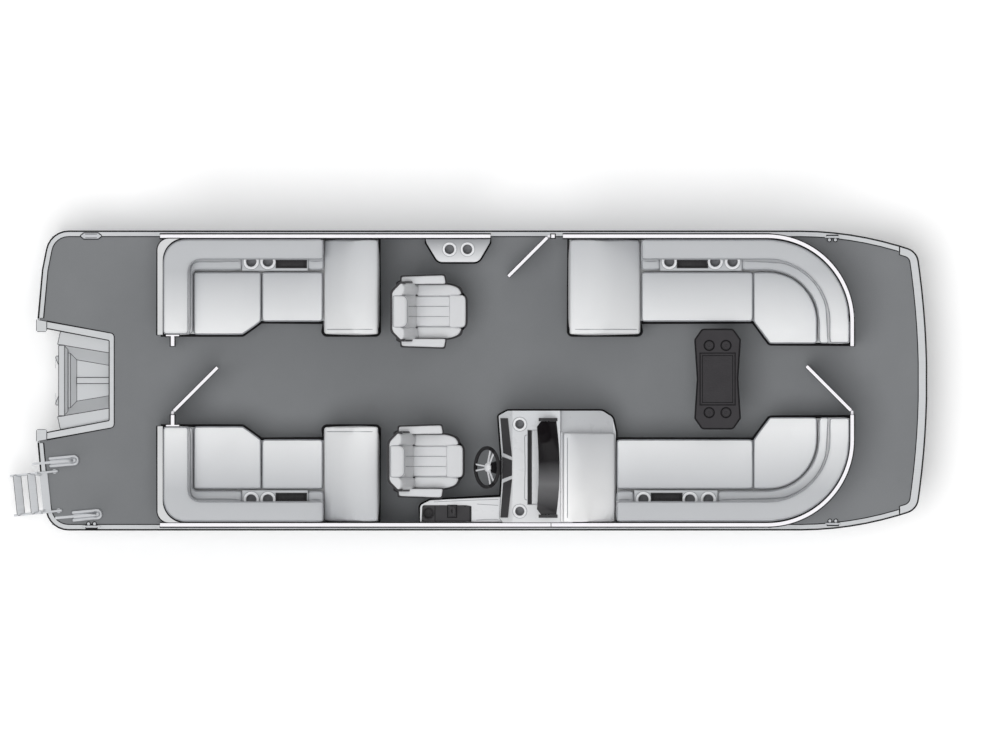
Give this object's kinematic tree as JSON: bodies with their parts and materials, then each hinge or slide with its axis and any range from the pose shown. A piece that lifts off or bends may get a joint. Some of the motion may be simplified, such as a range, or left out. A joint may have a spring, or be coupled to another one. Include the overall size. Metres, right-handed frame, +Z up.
{
  "type": "pontoon boat",
  "caption": "Twin-tube leisure deck boat with fenced seating, lounges, swivel chairs, helm console, table, gates, boarding ladder and motor pod.",
  "frame": {"origin": "middle of the overall length on the centreline, at the underside of the keels, so the boat stands on z = 0", "axes": "+X towards the bow, +Y to port, +Z up"},
  "size_m": [7.9693, 2.59, 1.8664],
  "materials": {
    "hull_alloy": "satin",
    "deck_floor": "matt woven vinyl flooring",
    "edge_trim": "satin anodised",
    "painted_hull": "satin",
    "polished_metal": "polished",
    "fence_tube": "gloss white powder coat",
    "fence_sheet": "gloss",
    "furniture_shell": "gloss",
    "vinyl": "soft vinyl",
    "dark_plastic": "satin",
    "wheel_rim": "soft grip",
    "tinted_glass": "tinted"
  },
  "bodies": {
    "hull": {"port_pontoon": "hull_alloy", "starboard_pontoon": "hull_alloy", "cross_members": "hull_alloy", "deck": "deck_floor", "port_edge_trim": "edge_trim", "starboard_edge_trim": "edge_trim", "bow_edge_trim": "edge_trim", "stern_castings": "edge_trim", "motor_well_trim": "edge_trim", "motor_pod": "painted_hull", "transom": "painted_hull", "cleats": "polished_metal", "handrails": "polished_metal", "ladder_base": "polished_metal", "port_aft_fence": "fence_tube", "port_bow_fence": "fence_tube", "starboard_fence": "fence_tube", "fence_panels": "fence_sheet", "gate_posts": "fence_tube", "lounge_shells": "furniture_shell", "port_aft_base": "furniture_shell", "starboard_aft_base": "furniture_shell", "port_bow_base": "furniture_shell", "starboard_bow_base": "furniture_shell", "corner_seats": "vinyl", "backrests": "vinyl", "cup_inserts": "furniture_shell", "chaise_backs": "vinyl", "helm_console": "furniture_shell", "dash_panels": "dark_plastic", "windscreen": "tinted_glass", "screen_brackets": "dark_plastic", "console_backrest": "vinyl", "steering_column": "dark_plastic", "side_console": "furniture_shell", "throttle": "dark_plastic", "throttle_lever": "dark_plastic", "chair_pedestals": "polished_metal", "drink_pod": "furniture_shell", "table_socket": "polished_metal"},
    "bow_gate": {"bow_gate_frame": "fence_tube", "bow_gate_panel": "fence_sheet"},
    "side_gate": {"side_gate_frame": "fence_tube", "side_gate_panel": "fence_sheet"},
    "stern_gate": {"stern_gate_frame": "fence_tube", "stern_gate_panel": "fence_sheet"},
    "ladder": {"ladder_rails": "polished_metal", "ladder_treads": "polished_metal"},
    "port_aft_seat": {"port_aft_lid": "vinyl"},
    "starboard_aft_seat": {"starboard_aft_lid": "vinyl"},
    "port_bow_seat": {"port_bow_lid": "vinyl"},
    "starboard_bow_seat": {"starboard_bow_lid": "vinyl"},
    "steering_wheel": {"steering_wheel": "wheel_rim"},
    "helm_chair": {"helm_chair_shell": "dark_plastic", "helm_chair_cushions": "vinyl"},
    "port_chair": {"port_chair_shell": "dark_plastic", "port_chair_cushions": "vinyl"},
    "table": {"table_top": "dark_plastic", "table_leg": "polished_metal"}
  },
  "joints": [
    {"name": "bow_gate_hinge", "type": "hinge", "parent": "hull", "child": "bow_gate", "pos_m": [3.338, -0.271, 0.78], "axis": [0, 0, 1], "range_deg": [-45, 45]},
    {"name": "side_gate_hinge", "type": "hinge", "parent": "hull", "child": "side_gate", "pos_m": [0.698, 1.255, 0.78], "axis": [0, 0, 1], "range_deg": [-45, 45]},
    {"name": "stern_gate_hinge", "type": "hinge", "parent": "hull", "child": "stern_gate", "pos_m": [-2.571, -0.276, 0.78], "axis": [0, 0, -1], "range_deg": [-45, 45]},
    {"name": "ladder_fold", "type": "hinge", "parent": "hull", "child": "ladder", "pos_m": [-3.73502, -0.97761, 0.83], "axis": [-0.1045, 0.9945, 0], "range_deg": [0, 228]},
    {"name": "port_aft_seat_hinge", "type": "hinge", "parent": "hull", "child": "port_aft_seat", "pos_m": [-1.529, 0.946, 1.226], "axis": [-1, 0, 0], "range_deg": [0, 80]},
    {"name": "starboard_aft_seat_hinge", "type": "hinge", "parent": "hull", "child": "starboard_aft_seat", "pos_m": [-1.529, -0.946, 1.226], "axis": [1, 0, 0], "range_deg": [0, 80]},
    {"name": "port_bow_seat_hinge", "type": "hinge", "parent": "hull", "child": "port_bow_seat", "pos_m": [1.99, 0.946, 1.226], "axis": [-1, 0, 0], "range_deg": [0, 80]},
    {"name": "starboard_bow_seat_hinge", "type": "hinge", "parent": "hull", "child": "starboard_bow_seat", "pos_m": [1.882, -0.946, 1.226], "axis": [1, 0, 0], "range_deg": [0, 80]},
    {"name": "steering", "type": "hinge", "parent": "hull", "child": "steering_wheel", "pos_m": [0.163, -0.756, 1.54], "axis": [-0.809, 0, 0.5878], "range_deg": [-540, 540]},
    {"name": "helm_chair_swivel", "type": "hinge", "parent": "hull", "child": "helm_chair", "pos_m": [-0.36, -0.703, 1.1284], "axis": [0, 0, 1], "continuous": true},
    {"name": "port_chair_swivel", "type": "hinge", "parent": "hull", "child": "port_chair", "pos_m": [-0.336, 0.601, 1.1284], "axis": [0, 0, 1], "continuous": true},
    {"name": "table_swivel", "type": "hinge", "parent": "hull", "child": "table", "pos_m": [2.168, 0.013, 0.8], "axis": [0, 0, 1], "continuous": true}
  ]
}
